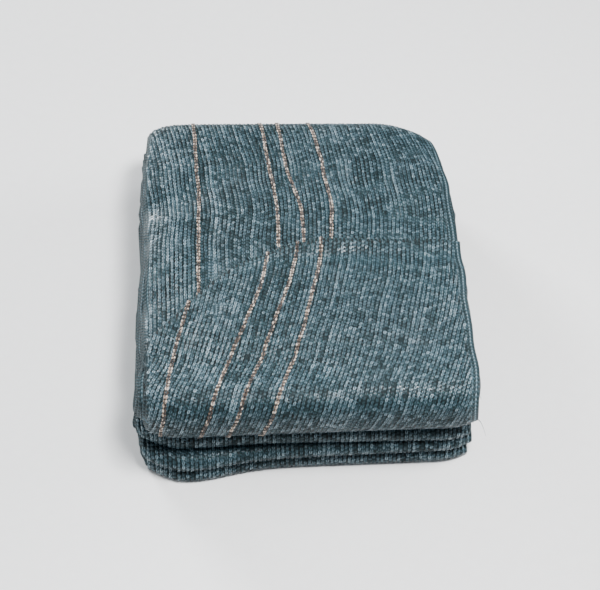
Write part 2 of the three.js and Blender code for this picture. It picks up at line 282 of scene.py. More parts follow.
PLANS = plan_layers()
OUTER_FOLD = PLANS[0]
BACK_FOLD = PLANS[7]
LAYER_BEHIND = PLANS[8]
LOWER_FRONT_FOLDS = dict(upper=PLANS[2], middle=PLANS[4], lower=PLANS[6])


def fold_line(plan, u):
    """The depth at which the fold after a layer begins."""
    inset = plan.inset + plan.lean * (u - 0.5)
    return plan.side * (DEPTH / 2 - inset - BAND / 2 - plan.bulge)


def layer_start(plan, u):
    return fold_line(PLANS[plan.index - 1], u) if plan.index else outer_end(u)


def layer_ripple(level, u, y, share):
    """A layer's own slight waves. The lowest layer lies flat."""
    height = 0.0 if level == 1 else LAYER_RIPPLE["height"]
    return height * np.sin(math.pi * share) * np.sin(y / LAYER_RIPPLE["length"] + 2.3 * level + 4 * u)


def fold_point(plan, share):
    """A fold's middle line at a share of its half turn: depth past the fold line, height, way out."""
    angle = (np.asarray(share) - 0.5) * math.pi
    across = np.maximum(np.cos(angle), 0) ** (2 / plan.square)
    along = np.sign(angle) * np.abs(np.sin(angle)) ** (2 / plan.square)
    out_y = plan.side * across ** (plan.square - 1) / plan.bulge
    out_z = plan.up * np.sign(along) * np.abs(along) ** (plan.square - 1) / plan.rise
    scale = plan.side * plan.up / np.hypot(out_y, out_z)
    height = level_height(plan.level) + plan.up * plan.rise * (1 + along)
    return plan.side * plan.bulge * across, height, out_y * scale, out_z * scale


def across_band(u, y, level, after, share, extra=0.0):
    """The place across the bale of a share of the band's width, between two levels."""
    def edge(side):
        inset = edge_inset(side, level, y) * (1 - share) + edge_inset(side, after, y) * share
        return side * (WIDTH / 2 - EDGE_ROUND - inset)
    return edge(-1) * (1 - u) + edge(1) * u + extra


def path_length(path):
    """The distance along a path at each of its points."""
    return np.concatenate([[0], np.cumsum(np.linalg.norm(np.diff(path, axis=0), axis=1))])


def fold_table(plan):
    """A fold by distance along its outermost ply."""
    share = np.linspace(0, 1, 241)
    dy, z, out_y, out_z = fold_point(plan, share)
    travel = path_length(np.stack([dy + PLY_REACH * out_y, z + PLY_REACH * out_z], -1))
    return SimpleNamespace(travel=travel, share=share, dy=dy, z=z, out_y=out_y, out_z=out_z)


def fold_length(plan):
    return float(fold_table(plan).travel[-1])


def face_point(plan, table, s, u, offset):
    """A point near the band's outer face. s is the distance past the fold line: on the layer before
    the fold where it is negative, and on the layer after it beyond the end of the fold."""
    length = table.travel[-1]
    before = s < 0
    beyond = s > length
    columns = (table.dy, table.z, table.out_y, table.out_z, table.share)
    dy, z, out_y, out_z, share = (np.interp(s, table.travel, column) for column in columns)
    past_line = np.where(before, plan.side * s, np.where(beyond, plan.side * (length - s), dy))
    y = fold_line(plan, u) + past_line
    out_y = np.where(before | beyond, 0.0, out_y)
    out_z = np.where(before, -plan.side, np.where(beyond, plan.side, out_z))
    x = across_band(u, y, plan.level, plan.after, share)
    return settle(x, y + offset * out_y, z + offset * out_z)


def share_at(plan, table, s, x):
    """The share of the band's width at a place across the bale in the row's frame."""
    low, high = 0.2, 0.8
    x_low = face_point(plan, table, s, np.full_like(x, low), 0.0)[..., 0]
    x_high = face_point(plan, table, s, np.full_like(x, high), 0.0)[..., 0]
    return low + (high - low) * (x - x_low) / (x_high - x_low)


# Materials

class Value:
    """A socket in a material's nodes. Operators on it add Math nodes."""

    def __init__(self, nodes, socket):
        self.nodes = nodes
        self.socket = socket

    def _math(self, operation, *values):
        return self.nodes.add("ShaderNodeMath", dict(operation=operation), values)["Value"]

    def __add__(self, other):
        return self._math("ADD", self, other)

    def __radd__(self, other):
        return self._math("ADD", other, self)

    def __sub__(self, other):
        return self._math("SUBTRACT", self, other)

    def __rsub__(self, other):
        return self._math("SUBTRACT", other, self)

    def __mul__(self, other):
        return self._math("MULTIPLY", self, other)

    def __rmul__(self, other):
        return self._math("MULTIPLY", other, self)

    def wave(self):
        return self._math("SINE", self)

    def size(self):
        return self._math("ABSOLUTE", self)

    def fraction(self):
        return self._math("FRACT", self)

    def between(self, low, high, to_low=0.0, to_high=1.0):
        """The value mapped smoothly from one range to another."""
        settings = dict(interpolation_type="SMOOTHSTEP", clamp=True)
        inputs = {"Value": self, "From Min": low, "From Max": high, "To Min": to_low, "To Max": to_high}
        return self.nodes.add("ShaderNodeMapRange", settings, inputs)["Result"]


class Nodes:
    """A material's node tree."""

    def __init__(self, name):
        self.material = bpy.data.materials.new(name)
        self.material.use_nodes = True
        self.tree = self.material.node_tree
        self.shader = self.tree.nodes["Principled BSDF"]

    def add(self, kind, settings=None, inputs=()):
        """A node with its settings, and the values or links of its sockets by place or name."""
        node = self.tree.nodes.new(kind)
        for key, value in (settings or {}).items():
            if key == "stops":
                self.set_stops(node.color_ramp, value)
            else:
                setattr(node, key, value)
        pairs = inputs.items() if isinstance(inputs, dict) else enumerate(inputs)
        for key, value in pairs:
            self.join(node.inputs[key], value)
        return {output.name: Value(self, output) for output in node.outputs if output.enabled}

    def set_stops(self, ramp, stops):
        while len(ramp.elements) < len(stops):
            ramp.elements.new(0.5)
        for element, (position, colour) in zip(ramp.elements, stops):
            element.position = position
            element.color = (*colour, 1)

    def join(self, socket, value):
        if isinstance(value, Value):
            self.tree.links.new(value.socket, socket)
        elif socket.type == "RGBA":
            socket.default_value = (*value, 1)
        else:
            socket.default_value = value

    def blend(self, factor, first, second):
        """A colour between two others. The Mix node's colour sockets have no names of their own."""
        return self.add("ShaderNodeMix", dict(data_type="RGBA"), {0: factor, 6: first, 7: second})["Result"]

    def ramp(self, value, *stops):
        """A colour from a number, by stops of position and colour."""
        return self.add("ShaderNodeValToRGB", dict(stops=stops), [value])["Color"]

    def noise(self, scale, detail, rough):
        place = self.add("ShaderNodeTexCoord")["Object"]
        inputs = {"Vector": place, "Scale": scale, "Detail": detail, "Roughness": rough}
        return self.add("ShaderNodeTexNoise", inputs=inputs)["Fac"]

    def measure(self, name):
        """A number stored at a mesh's points."""
        return self.add("ShaderNodeAttribute", dict(attribute_name=name))["Fac"]

    def bump(self, height, distance, strength):
        inputs = {"Height": height, "Distance": distance, "Strength": strength}
        return self.add("ShaderNodeBump", inputs=inputs)["Normal"]

    def finish(self, constants, **varying):
        for key, value in constants.items():
            self.shader.inputs[key].default_value = value
        for key, value in varying.items():
            self.join(self.shader.inputs[key.replace("_", " ")], value)
        return self.material


# BLACK_TEAL and SHADED_TEAL serve only the painted shade on the ply under the stitches
BLACK_TEAL = (0.0016, 0.0055, 0.0060)
DARK_TEAL = (0.006, 0.020, 0.0235)
NET_TEAL = (0.022, 0.0545, 0.0685)
SHADED_TEAL = (0.045, 0.11, 0.113)
PALE_TEAL = (0.081, 0.138, 0.168)
BRIGHT_TEAL = (0.22, 0.30, 0.34)
DUST = (0.22, 0.24, 0.235)
YARN_SHADOW = (0.015, 0.010, 0.008)
YARN_BROWN = (0.072, 0.044, 0.028)
YARN_TAN = (0.225, 0.162, 0.118)
YARN_PALE = (0.62, 0.56, 0.49)
PAPER_GREY = (0.86, 0.86, 0.86)
PAPER_PALE = (0.91, 0.91, 0.91)


def tape_material():
    """Flat plastic tape as it is knitted: teal, uneven in tone, with a soft gloss."""
    m = Nodes("knitted_tape")
    # The tone holds random tone and, on the stitches, painted shade on the low leg ends and laid-in tapes
    # and a painted highlight on the raised leg middles
    tone = m.measure("tone")
    patches = m.noise(26, 3, 0.6)
    fine = m.noise(900, 2, 0.5)
    shade = tone * 1.12 + patches * 0.3 + fine * 0.3 - 0.41
    colour = m.ramp(shade, (0.08, DARK_TEAL), (0.34, NET_TEAL), (0.62, PALE_TEAL), (0.95, BRIGHT_TEAL))
    dust = m.noise(60, 4, 0.7).between(0.56, 0.78) * 0.14
    colour = m.blend(dust, colour, DUST)
    rough = fine * 0.2 + patches * 0.1 + 0.15 + tone.between(0.15, 0.6, 0.4, 0)
    # The raised legs of the chain are polished by handling, the laid-in tapes between them aren't.
    polish = tone.between(0.3, 0.65, 0.0, 0.6)
    bump = m.bump(m.noise(1600, 2, 0.6), 0.00012, 0.5)
    constants = {"Specular IOR Level": 0.5, "Coat Roughness": 0.2}
    return m.finish(constants, Base_Color=colour, Roughness=rough, Coat_Weight=polish, Normal=bump)


def ply_material():
    """The net's own sheet under the raised stitches: ribs with slanting tapes between them."""
    m = Nodes("net_ply")
    wale = m.measure("wale")
    course = m.measure("course")
    rib = 1 - ((wale.fraction() - 0.5) * 2).size()
    slant = ((wale + course).fraction() - 0.5).size().between(0.06, 0.26, 1, 0)
    other_slant = ((wale - course).fraction() - 0.5).size().between(0.06, 0.26, 1, 0)
    chain = (course * (2 * math.pi)).wave() * 0.14
    ridge = (rib + chain).between(0.44, 0.86)
    patches = m.noise(30, 3, 0.6)
    strands = m.noise(700, 2, 0.6)
    lit = ridge * 0.62 + slant * 0.22 + other_slant * 0.18 + patches * 0.24 + strands * 0.2 - 0.2
    # Where the stitches lie on the ply it is painted darker, painted shade under them
    under = m.ramp(lit, (0.05, BLACK_TEAL), (0.36, DARK_TEAL), (0.75, NET_TEAL), (0.98, SHADED_TEAL))
    bare = m.ramp(lit, (0.05, DARK_TEAL), (0.36, NET_TEAL), (0.70, PALE_TEAL), (0.98, BRIGHT_TEAL))
    colour = m.blend(m.measure("covered"), bare, under)
    dust = m.noise(60, 4, 0.7).between(0.6, 0.8) * 0.1
    colour = m.blend(dust, colour, DUST)
    rough = strands * 0.25 + 0.36
    bump = m.bump(ridge + slant * 0.5 + other_slant * 0.5 + strands * 0.25, 0.0006, 0.9)
    return m.finish({"Specular IOR Level": 0.4}, Base_Color=colour, Roughness=rough, Normal=bump)


def yarn_material():
    """Two threads twisted together, one dark brown and one tan, with pale flecks."""
    m = Nodes("marker_yarn")
    tone = m.measure("tone")
    fibres = m.noise(2600, 3, 0.65)
    thread = (m.measure("turn") * (2 * math.pi)).wave() * 0.5 + 0.5
    # The tone holds random tone and the legs' painted highlight and painted shade
    shade = thread * 0.34 + tone * 0.95 + fibres * 0.3 - 0.32
    colour = m.ramp(shade, (0.12, YARN_SHADOW), (0.42, YARN_BROWN), (0.68, YARN_TAN), (0.95, YARN_PALE))
    rough = fibres * 0.2 + 0.62
    bump = m.bump(thread * 0.6 + fibres * 0.5, 0.0003, 0.9)
    constants = {"Sheen Weight": 0.3, "Sheen Roughness": 0.6, "Specular IOR Level": 0.3}
    return m.finish(constants, Base_Color=colour, Roughness=rough, Normal=bump)


def floor_material():
    m = Nodes("floor_paper")
    grain = m.noise(90, 3, 0.6)
    colour = m.blend(grain, PAPER_GREY, PAPER_PALE)
    return m.finish({"Specular IOR Level": 0.25}, Base_Color=colour, Roughness=grain * 0.1 + 0.7)


# Meshes

def make_piece(name, points, faces, material, **measures):
    """A smooth mesh piece from points in millimetres and faces of four corners, with numbers stored
    at its points."""
    mesh = bpy.data.meshes.new(name)
    mesh.from_pydata((np.asarray(points) * MM).tolist(), [], np.asarray(faces).tolist())
    mesh.polygons.foreach_set("use_smooth", np.ones(len(mesh.polygons), bool))
    for key, values in measures.items():
        layer = mesh.attributes.new(key, "FLOAT", "POINT")
        layer.data.foreach_set("value", np.asarray(values, np.float32).ravel())
    mesh.materials.append(material)
    mesh.update()
    piece = bpy.data.objects.new(name, mesh)
    bpy.context.scene.collection.objects.link(piece)
    return piece


def grid_faces(rows, columns, closed=False):
    """Faces of a grid of points that is stored row by row."""
    j = np.arange(columns if closed else columns - 1)
    i = np.arange(rows - 1)[:, None]
    k = (j + 1) % columns
    quads = np.stack([i * columns + j, i * columns + k, (i + 1) * columns + k, (i + 1) * columns + j], -1)
    return quads.reshape(-1, 4)


def repeat_faces(faces, count, step):
    """The faces of count like blocks of points, step points apart."""
    firsts = np.arange(count) * step
    return (faces + firsts[:, None, None]).reshape(-1, 4)


def dress(piece, slot, *nodes):
    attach(piece, "root")
    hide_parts(*nodes)
    return piece


# The net's plies

PLY_POINTS = dict(outer=78, inner=12)  # across the band
# The fold at the side from one ply to the next: share of the way, and reach past the side
PLY_FOLD = [(0.12, 0.9), (0.5, 1.4), (0.88, 0.9)]
SIDE_SHARE = 0.1  # of the width, at each side, that follows the uneven folds there
SIDE_WAVES = dict(left=(310, 131, 57), right=(290, 117, 61))  # their lengths along the band
SIDE_WAVE_HEIGHT = 0.8
SELVEDGE_INSETS = dict(left=2.5, right=3.5)
PLY_ENDS = (-3.5, 0.5)  # how much further back than the outermost ply the others end
STITCHED = (0.01, 0.985)  # shares of the width between which raised stitches cover a ply
# Steps of the layers and folds, by level, with more where the band shows
LAYER_STEPS = {13: 50, 12: 66}
FOLD_STEPS = {13: 22, 1: 28, 12: 12}
HIDDEN_LAYER_STEPS = 13
HIDDEN_FOLD_STEPS = 8


def slow_wave(travel, size, lengths):
    """An uneven wave along the band."""
    wave = np.zeros_like(travel)
    for length in lengths:
        height = RNG.normal(0, size)
        phase = RNG.uniform(0, 2 * math.pi)
        wave += height * np.sin(travel * 2 * math.pi / length + phase)
    return wave


def uneven_sides(travel, lengths):
    """How far each fold or selvedge at a side reaches past the band's edge, along the band."""
    rows = []
    for _ in range(PLY_COUNT):
        rows.append(slow_wave(travel, SIDE_WAVE_HEIGHT, lengths) + RNG.uniform(-1.2, 1.4))
    return np.array(rows)


def ply_profile():
    """Points across the band, ply by ply from the outer face to the inner one, round a fold at the
    side from each ply to the next. Each has a share of the width, its ply, its height in plies, its
    reach past the side, and how far it follows the left and the right folds' unevenness."""
    rows = []
    for ply in range(PLY_COUNT):
        shares = np.linspace(0, 1, PLY_POINTS["outer"])
        if ply:
            # The inner plies' points lie closer together near the sides.
            shares = 0.5 - 0.5 * np.cos(np.linspace(0, math.pi, PLY_POINTS["inner"]))
        if ply % 2:
            shares = shares[::-1]
        for u in shares:
            rows.append((u, ply, ply, 0, max(0, 1 - u / SIDE_SHARE), max(0, 1 - (1 - u) / SIDE_SHARE)))
        if ply + 1 < PLY_COUNT:
            u = shares[-1]
            rows += [(u, ply, ply + share, reach, 1 - u, u) for share, reach in PLY_FOLD]
    u, ply, height, reach, near_left, near_right = np.array(rows, float).T
    return SimpleNamespace(
        u=u, ply=ply.astype(int), height=height, reach=reach, near_left=near_left, near_right=near_right)


def layer_stations():
    """Places along the band: layer, whether in its fold, and share of the layer or the fold."""
    stations = []
    for plan in PLANS:
        shares = np.linspace(0, 1, LAYER_STEPS.get(plan.level, HIDDEN_LAYER_STEPS))
        stations += [(plan, False, share) for share in (shares if plan.index == 0 else shares[1:])]
        if plan.after:
            turns = FOLD_STEPS.get(plan.level, HIDDEN_FOLD_STEPS)
            stations += [(plan, True, k / turns) for k in range(1, turns + 1)]
    return stations


def station_travel(stations):
    """The distance along the band's middle line at each station."""
    centre = []
    for plan, in_fold, share in stations:
        if in_fold:
            dy, z, _, _ = fold_point(plan, share)
            centre.append((fold_line(plan, 0.5) + dy, z))
        else:
            start = layer_start(plan, 0.5)
            centre.append((start + (fold_line(plan, 0.5) - start) * share, level_height(plan.level)))
    return path_length(np.array(centre))


def ply_points(profile, plan, in_fold, share, follow, ply_end):
    """The plies' points at one station. follow is how far the uneven folds at the sides shift each
    point across, and ply_end is how much further back than the outermost ply each one ends."""
    u = profile.u
    offset = PLY_REACH - profile.height * PLY_STEP
    sideways = follow + profile.reach * np.where(u > 0.5, 1, -1)
    if in_fold:
        dy, z, out_y, out_z = fold_point(plan, share)
        y = fold_line(plan, u) + dy
        x = across_band(u, y, plan.level, plan.after, share, sideways)
        return settle(x, y + offset * out_y, np.maximum(z + offset * out_z, PLY_OFF_FLOOR))
    start = layer_start(plan, u)
    if plan.index == 0:
        start = start + ply_end[profile.ply]
    y = start + (fold_line(plan, u) - start) * share
    x = across_band(u, y, plan.level, plan.level, 0.0, sideways)
    z = level_height(plan.level) + layer_ripple(plan.level, u, y, share)
    return settle(x, y, np.maximum(z - offset * plan.side, PLY_OFF_FLOOR))


def net_plies(material):
    """The whole net as one sheet, folded at the sides into plies and along the band into layers."""
    profile = ply_profile()
    stations = layer_stations()
    travel = station_travel(stations)
    # Each fold at the side has its own reach and unevenness, and so has each selvedge.
    left = uneven_sides(travel, SIDE_WAVES["left"])
    right = uneven_sides(travel, SIDE_WAVES["right"])
    left[0] -= SELVEDGE_INSETS["left"]
    right[-1] -= SELVEDGE_INSETS["right"]
    odd = profile.ply % 2
    left_fold = (profile.ply + odd) // 2
    right_fold = (profile.ply - odd) // 2
    ply_end = RNG.uniform(*PLY_ENDS, PLY_COUNT)
    ply_end[0] = 0.0
    outermost = (profile.ply == 0) & (profile.reach == 0)
    stitched = outermost & (profile.u > STITCHED[0]) & (profile.u < STITCHED[1])
    rows = []
    covered = []
    for k, (plan, in_fold, share) in enumerate(stations):
        # Marks where the outermost ply is painted darker, as painted shade under the stitches
        shows = plan in (OUTER_FOLD, BACK_FOLD, LAYER_BEHIND)
        covered.append(stitched & (shows or (in_fold and plan in LOWER_FRONT_FOLDS.values())))
        follow = profile.near_right * right[right_fold, k] - profile.near_left * left[left_fold, k]
        rows.append(ply_points(profile, plan, in_fold, share, follow, ply_end))
    unfolded = (profile.ply + np.where(odd, 1 - profile.u, profile.u)) * WIDTH / WALE
    faces = grid_faces(len(stations), len(unfolded))
    wale = np.tile(unfolded, len(stations))
    course = np.repeat(travel / COURSE, len(unfolded))
    return make_piece("net_plies", np.concatenate(rows), faces, material,
                      wale=wale, course=course, covered=covered)


# Knitted stitches raised on the outermost plies

def ribbon(path, width, rise):
    """A flat tape along a path of (across, along, height), its edges higher or lower than its middle
    by two rises: points and faces."""
    path = np.array(path, float)
    way = np.gradient(path[:, :2], axis=0)
    way /= np.linalg.norm(way, axis=1)[:, None]
    aside = np.stack([way[:, 1], -way[:, 0]], -1) * width / 2
    left = path.copy()
    left[:, :2] -= aside
    left[:, 2] += rise[0]
    right = path.copy()
    right[:, :2] += aside
    right[:, 2] += rise[1]
    return np.stack([left, path, right], 1).reshape(-1, 3), grid_faces(len(path), 3)


# The tapes of one stitch: two legs of the chain that makes a rib, and two tapes laid in to the next
# rib. path: across, along and height. rise: how much higher than its middle a tape's two edges are.
# tone: how much paler or darker than the rib each point of the path is, as painted shade where the tape
# lies low and a painted highlight where it is raised.
LEG = [(0.12, -0.8, -0.05), (-0.56, 0.5, 0.42), (-0.84, 1.9, 0.66), (-0.56, 3.2, 0.52), (0.1, 4.3, 0.18)]
LEG_PAINTED_SHADING = (-0.38, -0.02, 0.2, 0.08, -0.36)
STITCH_TAPES = [
    dict(path=LEG, width=0.86, rise=(-0.34, -0.12), tone=LEG_PAINTED_SHADING),
    dict(path=[(-a, b, c) for a, b, c in LEG], width=0.86, rise=(-0.12, -0.34), tone=LEG_PAINTED_SHADING),
    dict(path=[(0.0, 0.4, -0.10), (WALE / 2, 1.5, -0.02), (WALE, 2.4, -0.10)],
         width=0.95, rise=(-0.1, 0.06), tone=(-0.34, -0.16, -0.34)),
    dict(path=[(0.0, 2.9, -0.14), (WALE / 2, 3.9, -0.16), (WALE, 5.0, -0.14)],
         width=0.8, rise=(0.04, -0.1), tone=(-0.38, -0.26, -0.38)),
]


def stitch():
    """One stitch: points, faces, and how pale each point is."""
    points = []
    faces = []
    tones = []
    first = 0
    for tape in STITCH_TAPES:
        corners, quads = ribbon(tape["path"], tape["width"], tape["rise"])
        points.append(corners)
        faces.append(quads + first)
        # Each point's painted shade or painted highlight, by how low or high it lies
        tones.append(np.repeat(tape["tone"], 3))
        first += len(corners)
    return np.concatenate(points), np.concatenate(faces), np.concatenate(tones)


STITCH_POINTS, STITCH_FACES, STITCH_PAINTED_SHADING = stitch()
# How much the stitches differ from each other
STITCH_SPREAD = dict(width=0.13, length=0.06, lift=0.1, tilt=0.16, skew=0.1, slack=0.16, tone=0.14)
RIBS = np.arange(-60, 62)  # more than the bale is wide
RIB_VALUES = 200  # a piece's random values for its ribs, more than there are ribs
BARE_SHARE = 0.004  # of the width, without stitches at each side
RIB_DRIFT = 1.1  # how far the ribs and the courses drift with the unevenness of the knit
COURSE_DRIFT = 1.2


def uneven(x, y):
    """A slow unevenness of the knit, from -1 to 1."""
    return (np.sin(x / 17 + 1.7 * np.sin(y / 29)) + np.sin(y / 13 + 2.1 * np.sin(x / 23 + 1))
            + np.sin((x + y) / 31)) / 3


def knit(name, plan, to_travel, lean, first, last, visible, material):
    """Stitches over part of the band's outer face. The net runs forwards along t, the distance from
    the bale's middle line. to_travel turns t into the distance past the fold line, lean gives the
    ribs' drift sideways, and visible says where there are stitches."""
    table = fold_table(plan)
    courses = np.arange(math.floor(first / COURSE), math.ceil(last / COURSE))
    rib, course = (grid.ravel() for grid in np.meshgrid(RIBS, courses, indexing="ij"))
    rib_tone = RNG.normal(0.5, 0.08, RIB_VALUES)
    rib_phase = RNG.uniform(0, 2 * math.pi, RIB_VALUES)

    def centre(rib, t):
        """Where a rib lies across the bale."""
        wander = 0.22 * np.sin(t / 19 + rib_phase[rib]) + 0.2 * np.sin(t / 41 + rib / 5)
        across = rib * WALE + lean(t)
        return across + wander + RIB_DRIFT * uneven(across, t)

    # The stitches of every other rib lie half a stitch further on.
    t = course * COURSE + rib % 2 * COURSE / 2
    x = centre(rib, t)
    t = t + COURSE_DRIFT * uneven(t + 90, x)
    u = share_at(plan, table, to_travel(t, 0.5), x)
    keep = (u > BARE_SHARE) & (u < 1 - BARE_SHARE - WALE / WIDTH) & visible(u, t)
    rib = rib[keep][:, None]
    count = len(rib)
    # Each stitch has its own size and slant.
    differ = {key: RNG.normal(0, spread, (count, 1)) for key, spread in STITCH_SPREAD.items()}

    across, along, high = STITCH_POINTS.T
    raised = high > 0.05
    between_ribs = np.abs(across - WALE / 2) < WALE / 4
    t = t[keep][:, None] + along * (1 + differ["length"])
    x = centre(rib, t) + across * np.where(raised, 1 + differ["width"], 1)
    x = x + raised * differ["skew"] * (along - 2)
    height = high + differ["lift"] + raised * differ["tilt"] * across + between_ribs * differ["slack"]
    s = to_travel(t, u[keep][:, None])
    points = face_point(plan, table, s, share_at(plan, table, s, x), STITCH_REACH + height)
    points[..., 2] = np.maximum(points[..., 2], OFF_FLOOR)
    # Random tone of the rib and the stitch, plus the stitch's painted shade on low leg ends and laid-in
    # tapes and painted highlight on raised leg middles
    tone = rib_tone[rib] + differ["tone"] + STITCH_PAINTED_SHADING
    faces = repeat_faces(STITCH_FACES, count, len(STITCH_POINTS))
    return make_piece(name, points.reshape(-1, 3), faces, material, tone=np.clip(tone, 0, 1))


def yarn_x(rows, t):
    """Where a yarn lies across the bale, in the row's frame."""
    return np.interp(t, [row[0] for row in rows], [row[1] + FRAME_SHIFT[0] for row in rows])


FRONT_FLAT = float(abs(fold_line(OUTER_FOLD, 0.5)))
FRONT_END = FRONT_FLAT + fold_length(OUTER_FOLD)
BACK_FLAT = float(abs(fold_line(BACK_FOLD, 0.5)))
BACK_LENGTH = fold_length(BACK_FOLD)
BACK_END = -BACK_FLAT - BACK_LENGTH
# Distances from the middle line between which the whole edge of the outer end lies
EDGE_FIRST = -20
EDGE_LAST = 150
# How far the stitches go on beneath the outer end and past the folds, where the layers hide them.
# At the back they stop short of the fold's end.
HIDDEN_KNIT = dict(outer_end=14, front_fold=8, back_fold=-6, lower_before=14, lower_after=6)


def front_travel(t, u):
    return t - np.abs(fold_line(OUTER_FOLD, u))


def back_travel(t, u):
    return BACK_LENGTH + np.abs(fold_line(BACK_FOLD, u)) + t


def knit_pieces(material):
    def front_lean(t):
        return yarn_x(YARNS["d"]["front"], t)

    def back_lean(t):
        return yarn_x(YARNS["d"]["back"], -t)

    def no_lean(t):
        return t * 0

    def fold_travel(t, u):
        return t

    def before_outer_end(u, t):
        return t > 1.0 - outer_end(u)

    def behind_outer_end(u, t):
        return -t > outer_end(u) - HIDDEN_KNIT["outer_end"]

    def anywhere(u, t):
        return True

    front_end = FRONT_END + HIDDEN_KNIT["front_fold"]
    back_end = BACK_END - HIDDEN_KNIT["back_fold"]
    rows = [
        ("outer_layer", OUTER_FOLD, front_travel, front_lean, EDGE_FIRST, FRONT_FLAT, before_outer_end),
        ("front_fold", OUTER_FOLD, front_travel, front_lean, FRONT_FLAT, front_end, anywhere),
        ("layer_behind", BACK_FOLD, back_travel, back_lean, -BACK_FLAT, EDGE_LAST, behind_outer_end),
        ("back_fold", BACK_FOLD, back_travel, back_lean, back_end, -BACK_FLAT, anywhere),
    ]
    for word, plan in LOWER_FRONT_FOLDS.items():
        first = -HIDDEN_KNIT["lower_before"]
        last = fold_length(plan) + HIDDEN_KNIT["lower_after"]
        rows.append((f"{word}_front_fold", plan, fold_travel, no_lean, first, last, anywhere))
    return [knit("knit_" + row[0], *row[1:], material) for row in rows]


# Loose tapes

LOOSE_COUNT = 170
LOOSE_STEPS = 7
LOOSE_ROOT = 2.0  # how far a tape's root lies back on the outer layer
LOOSE_FALL = 6.6  # at most, on to the layer behind
STRAY_STEPS = 12
# Longer tapes at the sides: share of the band's width, distance from the middle line, length
STRAY_TAPES = [
    (0.995, 236, 17), (0.99, 190, 9), (0.992, 92, 8), (0.994, 31, 11), (0.006, 150, 8), (0.004, 214, 10),
]


def strips(name, edges, tones, material):
    """Narrow strips of tape, each from the points along its two edges, and with its own tone."""
    steps = len(edges[0])
    faces = repeat_faces(grid_faces(2, steps), len(tones), 2 * steps)
    tone = np.clip(np.repeat(tones, 2 * steps), 0, 1)
    return make_piece(name, np.concatenate(edges), faces, material, tone=tone)


def loose_tapes(material):
    """Short cut tapes that hang out of the band's outer end, on to the layer behind it."""
    table = fold_table(OUTER_FOLD)
    q = np.linspace(0, 1, LOOSE_STEPS)
    edges = []
    tones = []
    for _ in range(LOOSE_COUNT):
        u = RNG.uniform(0.02, 0.98)
        length = RNG.gamma(3.0, 1.3) + 1.5
        fall = min(LOOSE_FALL, RNG.uniform(2.5, 7.5)) * min(1, length / 5)
        start_height = RNG.uniform(0, 4.0)
        swing = RNG.normal(0, 0.35)
        curl = RNG.normal(0, 0.5)
        width = RNG.uniform(0.35, 0.6)
        s = front_travel(LOOSE_ROOT - float(outer_end(u)) - q * (length + LOOSE_ROOT), u)
        aside = swing * q * length + curl * np.sin(q * 3)
        height = STITCH_REACH + 0.3 - start_height - np.minimum(fall * q**1.6, 8.0 - start_height)
        for side in (-1, 1):
            share = u + (aside + side * width) / WIDTH
            edges.append(face_point(OUTER_FOLD, table, s, share, height + side * 0.12))
        tones.append(RNG.normal(0.5, 0.16))
    return strips("loose_tapes", edges, tones, material)


def stray_tapes(material):
    """A few longer tapes that have come loose along the band's side edges and stand off them."""
    table = fold_table(OUTER_FOLD)
    q = np.linspace(0, 1, STRAY_STEPS)
    half_width = 0.45 * (1 - 0.5 * q)[:, None] * np.array([0.3, 0.8, 0.5])
    edges = []
    tones = []
    for k, (u, t, length) in enumerate(STRAY_TAPES):
        root = face_point(OUTER_FOLD, table, front_travel(t, u), u, STITCH_REACH)
        side = 1 if u > 0.5 else -1
        turn = RNG.uniform(-0.7, 0.7)
        lift = RNG.uniform(0.2, 0.9)
        out = side * length * (q - 0.35 * q**2)
        along = length * (turn * q + 0.3 * np.sin(q * 4 + k))
        height = length * (lift * q - 0.75 * q**2) + 0.3
        middle = root + np.stack([out, along, height], -1)
        edges += [middle - half_width, middle + half_width]
        tones.append(RNG.uniform(0.4, 0.7))
    return strips("stray_tapes", edges, tones, material)


# Marker yarns

YARN_STITCH = 4.3  # length of one stitch of a yarn
YARN_LEG = YARN_STITCH + 1.5  # a leg runs in under the stitches before and after it
YARN_LEG_START = -0.9
YARN_SPREAD = 1.15  # from the yarn's middle line to the middle of a leg of the stitch
YARN_HEIGHT = 0.77  # of the ends of a leg over the outermost ply
YARN_BOW = 0.42
YARN_RADIUS = 0.8
YARN_FLATNESS = 0.85
# bow: how much paler a leg is painted at its raised middle, a painted highlight, and darker at its ends,
# painted shade
YARN_TONE = dict(middle=0.37, spread=0.32, bow=0.85)
YARN_PHASE = {1: 19, -1: 20}  # of a yarn's sideways drift, by its way
YARN_SIDES = 6
YARN_STEPS = 8
YARN_TURN = 2.6  # length of a full twist of the two threads
# Where the yarns end: past the edge of the outer end and beneath it, and short of the far ends of
# the front fold and the back fold
YARN_ENDS = dict(past=2, beneath=6, front=6, back=16)


def unit(vectors):
    return vectors / np.linalg.norm(vectors, axis=-1, keepdims=True)


